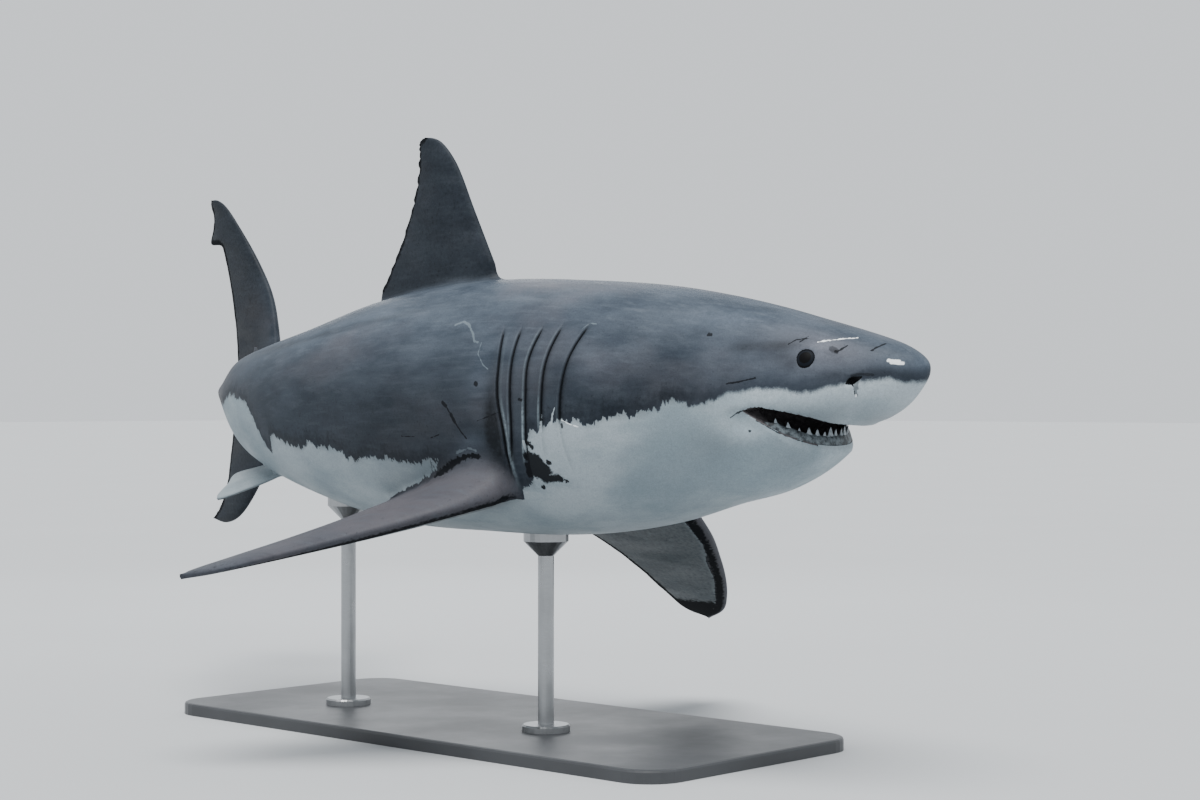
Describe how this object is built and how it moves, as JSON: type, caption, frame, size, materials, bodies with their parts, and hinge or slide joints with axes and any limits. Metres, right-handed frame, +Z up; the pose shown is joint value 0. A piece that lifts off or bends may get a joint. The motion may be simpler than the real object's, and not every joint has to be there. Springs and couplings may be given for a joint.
{
  "type": "great white shark model",
  "caption": "Life-size still model of a swimming great white shark, mouth slightly open and tail swung to its left, held over a flat base by upright rods.",
  "frame": {"origin": "middle of the base's underside, on the floor", "axes": "+X towards the shark's head, +Y towards its left side, +Z up"},
  "size_m": [3.9897, 2.0917, 1.9085],
  "materials": {
    "back_skin": "dull grey-blue skin, the upper side",
    "belly_skin": "dull white skin, the underside",
    "fin_skin": "dull grey-blue skin, darker at the tips",
    "eye_glass": "wet black",
    "stand_paint": "painted dark grey, satin",
    "stand_metal": "brushed"
  },
  "bodies": {
    "root": {"head": "back_skin", "lower_jaw": "belly_skin", "gill_region": "back_skin", "fore_trunk": "back_skin", "rear_trunk": "back_skin", "tail_stock": "back_skin", "peduncle": "back_skin", "eye_left": "eye_glass", "eye_right": "eye_glass", "first_dorsal_fin": "fin_skin", "second_dorsal_fin": "fin_skin", "anal_fin": "fin_skin", "caudal_fin_upper": "fin_skin", "caudal_fin_lower": "fin_skin", "pectoral_fin_left": "fin_skin", "pectoral_fin_right": "fin_skin", "pelvic_fin_left": "fin_skin", "pelvic_fin_right": "fin_skin", "stand_base": "stand_paint", "stand_rod_front": "stand_metal", "stand_rod_rear": "stand_metal"}
  },
  "joints": []
}
